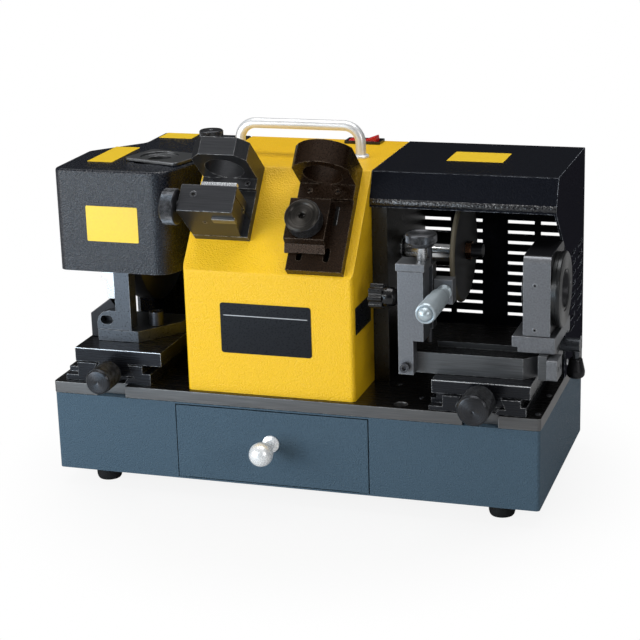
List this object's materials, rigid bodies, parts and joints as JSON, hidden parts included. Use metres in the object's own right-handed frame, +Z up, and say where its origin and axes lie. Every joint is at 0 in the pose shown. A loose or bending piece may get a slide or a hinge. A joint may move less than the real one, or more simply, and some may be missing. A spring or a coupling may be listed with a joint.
{
  "type": "end mill grinder",
  "caption": "Bench grinder for end mills: drawer cabinet, slanted motor housing, two wheel stations with slides, micrometer tooth rest, chuck and two setting fixtures.",
  "frame": {"origin": "middle of the whole object's footprint at floor level", "axes": "+X to the operator's right along the cabinet, +Y away from the operator, +Z up"},
  "size_m": [0.4628, 0.2406, 0.3205],
  "materials": {
    "blue_texture": "fine texture paint",
    "yellow_texture": "fine texture paint",
    "black_wrinkle": "wrinkle paint",
    "olive_grey": "satin paint",
    "ground_steel": "surface ground",
    "dark_steel": "dark turned and milled",
    "cast_grey": "milled",
    "bright_steel": "bright turned",
    "satin_chrome": "satin",
    "aluminium": "satin",
    "brass": "turned",
    "abrasive": "bonded grit on a metal body",
    "black_oxide": "black oxide",
    "rubber": "moulded",
    "black_plastic": "moulded",
    "red_plastic": "moulded"
  },
  "bodies": {
    "frame": {"cabinet": "blue_texture", "foot_front_left": "rubber", "foot_front_right": "rubber", "foot_rear_left": "rubber", "foot_rear_right": "rubber", "base_plate": "ground_steel", "motor_housing": "yellow_texture", "rear_cover": "yellow_texture", "carry_handle": "aluminium", "switch_bezel": "black_plastic", "power_inlet": "black_plastic", "motor": "cast_grey", "spindle_flange": "bright_steel", "chamber_wall": "olive_grey", "right_cover": "black_wrinkle", "left_cover": "black_wrinkle", "left_slide_base": "dark_steel", "right_slide_base": "dark_steel", "left_jig_body": "dark_steel", "left_jig_block": "dark_steel", "right_jig_body": "black_oxide"},
    "drawer_tray": {"drawer": "blue_texture", "drawer_knob": "bright_steel"},
    "rocker": {"power_rocker": "red_plastic"},
    "spindle": {"motor_shaft": "dark_steel", "left_cup_wheel": "abrasive", "right_wheel_hub": "bright_steel", "right_grinding_wheel": "abrasive", "arbor_nut": "brass"},
    "cover_screw": {"left_cover_knob": "dark_steel"},
    "left_slide": {"left_table": "dark_steel", "left_bracket": "cast_grey", "left_angle_plate": "black_oxide", "left_scale_arm": "bright_steel", "left_bracket_screw": "dark_steel"},
    "left_holder": {"left_chuck_holder": "dark_steel"},
    "left_feed": {"left_feed_knob": "dark_steel"},
    "right_slide": {"right_table": "dark_steel", "bed": "dark_steel", "bed_end_plate": "cast_grey", "stop_block": "cast_grey", "tooth_rest_bracket": "cast_grey", "tooth_rest_cap": "cast_grey", "tooth_rest_screw": "dark_steel"},
    "right_feed": {"right_feed_knob": "dark_steel"},
    "carriage": {"chuck_carriage": "dark_steel", "bearing_housing": "cast_grey"},
    "chuck": {"chuck_sleeve": "bright_steel"},
    "clamp": {"clamp_lever": "bright_steel", "clamp_lever_grip": "black_plastic"},
    "rest_slide": {"tooth_rest_slide": "dark_steel", "micrometer_holder": "cast_grey", "micrometer_sleeve": "satin_chrome"},
    "rest_knob": {"thumb_knob": "dark_steel"},
    "side_lock": {"side_knob": "dark_steel"},
    "mic_screw": {"micrometer_spindle": "bright_steel"},
    "mic_drum": {"micrometer_thimble": "satin_chrome"},
    "left_jig_lock": {"left_jig_knob": "dark_steel"},
    "right_jig_slide": {"right_jig_slider": "black_oxide"},
    "right_jig_lock": {"right_jig_knob": "dark_steel"}
  },
  "joints": [
    {"name": "drawer_slide", "type": "slide", "parent": "frame", "child": "drawer_tray", "axis": [0, -1, 0], "range_m": [0, 0.15]},
    {"name": "rocker_tilt", "type": "hinge", "parent": "frame", "child": "rocker", "pos_m": [0.00925, 0.10125, 0.2861], "axis": [0, 1, 0], "range_deg": [0, 16]},
    {"name": "spindle_turn", "type": "hinge", "parent": "frame", "child": "spindle", "pos_m": [-0.01065, 0.03225, 0.2079], "axis": [1, 0, 0], "continuous": true},
    {"name": "cover_screw_turn", "type": "hinge", "parent": "frame", "child": "cover_screw", "pos_m": [-0.13945, 0.09725, 0.2899], "axis": [0, 0, 1], "range_deg": [-180, 180]},
    {"name": "left_feed_slide", "type": "slide", "parent": "frame", "child": "left_slide", "axis": [0, 1, 0], "range_m": [-0.004, 0.006]},
    {"name": "left_feed_turn", "type": "hinge", "parent": "frame", "child": "left_feed", "pos_m": [-0.17565, -0.08275, 0.1096], "axis": [0, 1, 0], "range_deg": [-721, 1081]},
    {"name": "left_holder_swivel", "type": "hinge", "parent": "left_slide", "child": "left_holder", "pos_m": [-0.15165, -0.00075, 0.2779], "axis": [0, 0, 1], "range_deg": [-20, 20]},
    {"name": "right_feed_slide", "type": "slide", "parent": "frame", "child": "right_slide", "axis": [0, 1, 0], "range_m": [-0.006, 0.0025]},
    {"name": "right_feed_turn", "type": "hinge", "parent": "frame", "child": "right_feed", "pos_m": [0.15865, -0.08275, 0.1108], "axis": [0, 1, 0], "range_deg": [-1081, 451]},
    {"name": "carriage_slide", "type": "slide", "parent": "right_slide", "child": "carriage", "axis": [-1, 0, 0], "range_m": [0, 0.045]},
    {"name": "chuck_turn", "type": "hinge", "parent": "carriage", "child": "chuck", "pos_m": [0.21435, -0.02275, 0.1933], "axis": [1, 0, 0], "continuous": true},
    {"name": "clamp_turn", "type": "hinge", "parent": "right_slide", "child": "clamp", "pos_m": [0.21435, 0.00525, 0.1359], "axis": [1, 0, 0], "range_deg": [-60, 60]},
    {"name": "rest_height", "type": "slide", "parent": "right_slide", "child": "rest_slide", "axis": [0, 0, 1], "range_m": [-0.003, 0.003]},
    {"name": "rest_knob_turn", "type": "hinge", "parent": "right_slide", "child": "rest_knob", "pos_m": [0.10355, -0.05775, 0.2379], "axis": [0, 0, 1], "range_deg": [-360, 360]},
    {"name": "side_lock_turn", "type": "hinge", "parent": "right_slide", "child": "side_lock", "pos_m": [0.06935, -0.06175, 0.1894], "axis": [1, 0, 0], "range_deg": [-360, 360]},
    {"name": "micrometer_feed", "type": "slide", "parent": "rest_slide", "child": "mic_screw", "axis": [0, 1, 0], "range_m": [-0.004, 0.006]},
    {"name": "micrometer_turn", "type": "hinge", "parent": "mic_screw", "child": "mic_drum", "pos_m": [0.12075, -0.08275, 0.1924], "axis": [0, 1, 0], "range_deg": [-2881, 4321]},
    {"name": "left_jig_lock_turn", "type": "hinge", "parent": "frame", "child": "left_jig_lock", "pos_m": [-0.10465, -0.08927, 0.26524], "axis": [1, 0, 0], "range_deg": [-360, 360]},
    {"name": "right_jig_feed", "type": "slide", "parent": "frame", "child": "right_jig_slide", "axis": [0, 0.6334, 0.7738], "range_m": [-0.006, 0.003]},
    {"name": "right_jig_lock_turn", "type": "hinge", "parent": "right_jig_slide", "child": "right_jig_lock", "pos_m": [0.00635, -0.07344, 0.25616], "axis": [0, -0.7738, 0.6334], "range_deg": [-360, 360]}
  ],
  "couplings": [
    {"joint": "left_feed_turn", "follows": "left_feed_slide", "rad_per_m": 3141.6},
    {"joint": "right_feed_turn", "follows": "right_feed_slide", "rad_per_m": 3141.6},
    {"joint": "micrometer_turn", "follows": "micrometer_feed", "rad_per_m": 12566}
  ]
}
